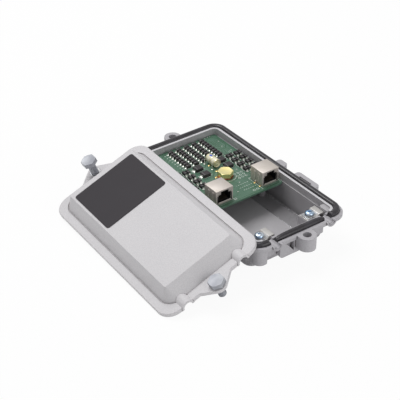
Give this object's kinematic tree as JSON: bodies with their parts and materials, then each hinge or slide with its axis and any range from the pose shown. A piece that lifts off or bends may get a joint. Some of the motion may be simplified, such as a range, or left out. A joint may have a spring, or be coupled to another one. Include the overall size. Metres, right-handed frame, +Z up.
{
  "type": "ethernet surge protector",
  "caption": "Open outdoor surge protector for network lines: a cast metal box with shielded modular jacks, surge diodes and a gas tube on a board, its domed cover leaning on the rim",
  "frame": {"origin": "middle of the base's underside, on the bench", "axes": "+Z up, +X across the base away from the leaning cover, -Y towards the cable entries"},
  "size_m": [0.1729, 0.1877, 0.043],
  "materials": {
    "cast_base": "light grey painted die casting, fine grain",
    "cast_cover": "light grey painted die casting, fine grain",
    "label": "matt charcoal film",
    "seal": "satin black rubber",
    "zinc_bolt": "blue zinc plated",
    "zinc_ring": "bright zinc plated",
    "board": "green solder mask on glass laminate",
    "brass": "bright",
    "copper": "tarnished copper",
    "tin": "tinned",
    "black_plastic": "moulded",
    "gold": "gold flashed",
    "package": "moulded epoxy",
    "tin_lead": "tinned",
    "ceramic": "cream ceramic",
    "nickel": "bright nickel"
  },
  "bodies": {
    "root": {"base_housing": "cast_base", "bolt_retainer_front": "zinc_ring", "bolt_retainer_rear": "zinc_ring", "cable_clamp_left": "nickel", "cable_clamp_right": "nickel", "circuit_board": "board", "clamp_screws": "zinc_bolt", "clamp_split_washers": "zinc_ring", "clamp_square_washers": "zinc_ring", "cover": "cast_cover", "cover_label": "label", "front_gasket": "seal", "gas_tube_body": "ceramic", "gas_tube_caps": "tin_lead", "gas_tube_leads": "tin_lead", "ground_bolt": "brass", "ground_ring": "copper", "jack_left_contacts": "gold", "jack_left_insert": "black_plastic", "jack_left_shield": "tin", "jack_right_contacts": "gold", "jack_right_insert": "black_plastic", "jack_right_shield": "tin", "left_diode_bodies": "package", "left_diode_leads": "tin_lead", "power_diode_bodies": "package", "power_diode_leads": "tin_lead", "rear_diode_bodies": "package", "rear_diode_leads": "tin_lead", "right_diode_bodies": "package", "right_diode_leads": "tin_lead", "rim_gasket": "seal"},
    "front_bolt": {"cover_bolt_front": "zinc_bolt"},
    "rear_bolt": {"cover_bolt_rear": "zinc_bolt"}
  },
  "joints": [
    {"name": "front_bolt_slide", "type": "slide", "parent": "root", "child": "front_bolt", "axis": [-0.3818, 0, 0.9242], "range_m": [0, 0.0102]},
    {"name": "rear_bolt_slide", "type": "slide", "parent": "root", "child": "rear_bolt", "axis": [-0.3818, 0, 0.9242], "range_m": [-0.0103, 0]}
  ]
}
